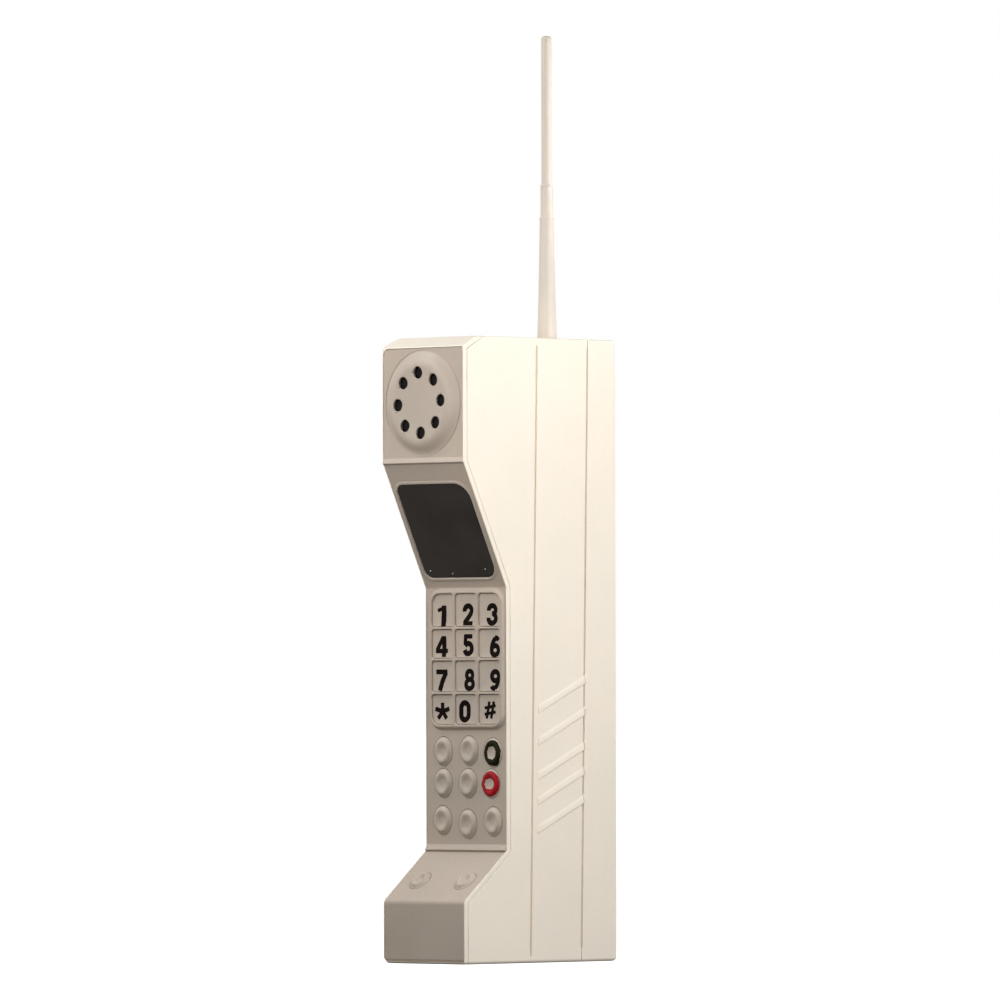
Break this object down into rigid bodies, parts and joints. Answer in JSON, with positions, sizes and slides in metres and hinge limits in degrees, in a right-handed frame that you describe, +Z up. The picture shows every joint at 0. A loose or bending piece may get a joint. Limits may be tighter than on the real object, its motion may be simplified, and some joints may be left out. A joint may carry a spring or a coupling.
{
  "type": "toy cell phone",
  "caption": "Brick-shaped toy cell phone with a stepped front, round ear dish, smoked screen, press keys, sliding battery cover and pull-out antenna.",
  "frame": {"origin": "middle of the footprint, on the surface the phone stands on", "axes": "+Z up along the phone's length, -Y out of the front with the keys, +X to the right of someone facing the front's back, across the phone"},
  "size_m": [0.0474, 0.0894, 0.3725],
  "materials": {
    "casing_cream": "satin, lightly brushed cream paint over moulded plastic",
    "fascia_taupe": "satin taupe paint, slightly mottled",
    "key_taupe": "satin taupe paint, slightly mottled",
    "call_green": "hand-painted dark green ring",
    "end_red": "hand-painted red ring",
    "screen_smoke": "gloss smoked acrylic",
    "display_dark": "dark printed card",
    "led_clear": "clear resin",
    "antenna_ivory": "satin ivory paint",
    "steel": "zinc plated",
    "speaker_steel": "grey plated pressed steel",
    "magnet_grey": "matte ferrite",
    "cone_paper": "matte black paper",
    "felt_black": "black felt",
    "silicone_grey": "matte silicone",
    "board_green": "solder mask green",
    "chip_black": "epoxy blob",
    "box_black": "moulded black",
    "battery_sleeve": "plain blue shrink sleeve",
    "brass_contact": "stamped brass",
    "wire_sleeve": "vinyl sleeve"
  },
  "bodies": {
    "casing": {"front_frame": "casing_cream", "fascia": "fascia_taupe", "front_shell": "casing_cream", "rear_shell": "casing_cream", "case_screws": "steel", "earpiece_dish": "fascia_taupe", "dust_felt": "felt_black", "speaker_frame": "speaker_steel", "speaker_cone": "cone_paper", "speaker_magnet": "magnet_grey", "speaker_wires": "wire_sleeve", "display_lens": "screen_smoke", "display_panel": "display_dark", "indicator_leds": "led_clear", "keypad_frame": "fascia_taupe", "keypad_mat": "silicone_grey", "main_board": "board_green", "sound_chip": "chip_black", "board_screws": "steel", "chin_mat": "silicone_grey", "chin_board": "board_green", "chin_wires": "wire_sleeve", "battery_box": "box_black", "battery_1": "battery_sleeve", "battery_2": "battery_sleeve", "contact_springs": "steel", "contact_plates": "brass_contact", "battery_wires": "wire_sleeve", "antenna_base": "antenna_ivory", "antenna_tube": "antenna_ivory", "antenna_nut": "steel"},
    "battery_cover": {"battery_cover": "casing_cream"},
    "antenna_rod": {"antenna_rod": "antenna_ivory"},
    "key_1": {"key_1": "key_taupe"},
    "key_2": {"key_2": "key_taupe"},
    "key_3": {"key_3": "key_taupe"},
    "key_4": {"key_4": "key_taupe"},
    "key_5": {"key_5": "key_taupe"},
    "key_6": {"key_6": "key_taupe"},
    "key_7": {"key_7": "key_taupe"},
    "key_8": {"key_8": "key_taupe"},
    "key_9": {"key_9": "key_taupe"},
    "key_star": {"key_star": "key_taupe"},
    "key_0": {"key_0": "key_taupe"},
    "key_hash": {"key_hash": "key_taupe"},
    "memory_button_1": {"memory_button_1": "key_taupe"},
    "memory_button_2": {"memory_button_2": "key_taupe"},
    "call_button": {"call_button": "call_green"},
    "memory_button_3": {"memory_button_3": "key_taupe"},
    "memory_button_4": {"memory_button_4": "key_taupe"},
    "end_button": {"end_button": "end_red"},
    "volume_button": {"volume_button": "key_taupe"},
    "lock_button": {"lock_button": "key_taupe"},
    "power_button": {"power_button": "key_taupe"},
    "chin_button_left": {"chin_button_left": "key_taupe"},
    "chin_button_right": {"chin_button_right": "key_taupe"}
  },
  "joints": [
    {"name": "antenna_slide", "type": "slide", "parent": "casing", "child": "antenna_rod", "axis": [0, 0, 1], "range_m": [-0.055, 0]},
    {"name": "cover_slide", "type": "slide", "parent": "casing", "child": "battery_cover", "axis": [0, 0.0175, 0.9998], "range_m": [0, 0.01]},
    {"name": "key_1_press", "type": "slide", "parent": "casing", "child": "key_1", "axis": [0, 1, 0], "range_m": [0, 0.001], "stiffness_N_per_m": 250},
    {"name": "key_2_press", "type": "slide", "parent": "casing", "child": "key_2", "axis": [0, 1, 0], "range_m": [0, 0.001], "stiffness_N_per_m": 250},
    {"name": "key_3_press", "type": "slide", "parent": "casing", "child": "key_3", "axis": [0, 1, 0], "range_m": [0, 0.001], "stiffness_N_per_m": 250},
    {"name": "key_4_press", "type": "slide", "parent": "casing", "child": "key_4", "axis": [0, 1, 0], "range_m": [0, 0.001], "stiffness_N_per_m": 250},
    {"name": "key_5_press", "type": "slide", "parent": "casing", "child": "key_5", "axis": [0, 1, 0], "range_m": [0, 0.001], "stiffness_N_per_m": 250},
    {"name": "key_6_press", "type": "slide", "parent": "casing", "child": "key_6", "axis": [0, 1, 0], "range_m": [0, 0.001], "stiffness_N_per_m": 250},
    {"name": "key_7_press", "type": "slide", "parent": "casing", "child": "key_7", "axis": [0, 1, 0], "range_m": [0, 0.001], "stiffness_N_per_m": 250},
    {"name": "key_8_press", "type": "slide", "parent": "casing", "child": "key_8", "axis": [0, 1, 0], "range_m": [0, 0.001], "stiffness_N_per_m": 250},
    {"name": "key_9_press", "type": "slide", "parent": "casing", "child": "key_9", "axis": [0, 1, 0], "range_m": [0, 0.001], "stiffness_N_per_m": 250},
    {"name": "key_star_press", "type": "slide", "parent": "casing", "child": "key_star", "axis": [0, 1, 0], "range_m": [0, 0.001], "stiffness_N_per_m": 250},
    {"name": "key_0_press", "type": "slide", "parent": "casing", "child": "key_0", "axis": [0, 1, 0], "range_m": [0, 0.001], "stiffness_N_per_m": 250},
    {"name": "key_hash_press", "type": "slide", "parent": "casing", "child": "key_hash", "axis": [0, 1, 0], "range_m": [0, 0.001], "stiffness_N_per_m": 250},
    {"name": "memory_button_1_press", "type": "slide", "parent": "casing", "child": "memory_button_1", "axis": [0, 1, 0], "range_m": [0, 0.001], "stiffness_N_per_m": 250},
    {"name": "memory_button_2_press", "type": "slide", "parent": "casing", "child": "memory_button_2", "axis": [0, 1, 0], "range_m": [0, 0.001], "stiffness_N_per_m": 250},
    {"name": "call_button_press", "type": "slide", "parent": "casing", "child": "call_button", "axis": [0, 1, 0], "range_m": [0, 0.001], "stiffness_N_per_m": 250},
    {"name": "memory_button_3_press", "type": "slide", "parent": "casing", "child": "memory_button_3", "axis": [0, 1, 0], "range_m": [0, 0.001], "stiffness_N_per_m": 250},
    {"name": "memory_button_4_press", "type": "slide", "parent": "casing", "child": "memory_button_4", "axis": [0, 1, 0], "range_m": [0, 0.001], "stiffness_N_per_m": 250},
    {"name": "end_button_press", "type": "slide", "parent": "casing", "child": "end_button", "axis": [0, 1, 0], "range_m": [0, 0.001], "stiffness_N_per_m": 250},
    {"name": "volume_button_press", "type": "slide", "parent": "casing", "child": "volume_button", "axis": [0, 1, 0], "range_m": [0, 0.001], "stiffness_N_per_m": 250},
    {"name": "lock_button_press", "type": "slide", "parent": "casing", "child": "lock_button", "axis": [0, 1, 0], "range_m": [0, 0.001], "stiffness_N_per_m": 250},
    {"name": "power_button_press", "type": "slide", "parent": "casing", "child": "power_button", "axis": [0, 1, 0], "range_m": [0, 0.001], "stiffness_N_per_m": 250},
    {"name": "chin_button_left_press", "type": "slide", "parent": "casing", "child": "chin_button_left", "axis": [0, 0.6402, -0.7682], "range_m": [0, 0.001], "stiffness_N_per_m": 250},
    {"name": "chin_button_right_press", "type": "slide", "parent": "casing", "child": "chin_button_right", "axis": [0, 0.6402, -0.7682], "range_m": [0, 0.001], "stiffness_N_per_m": 250}
  ]
}
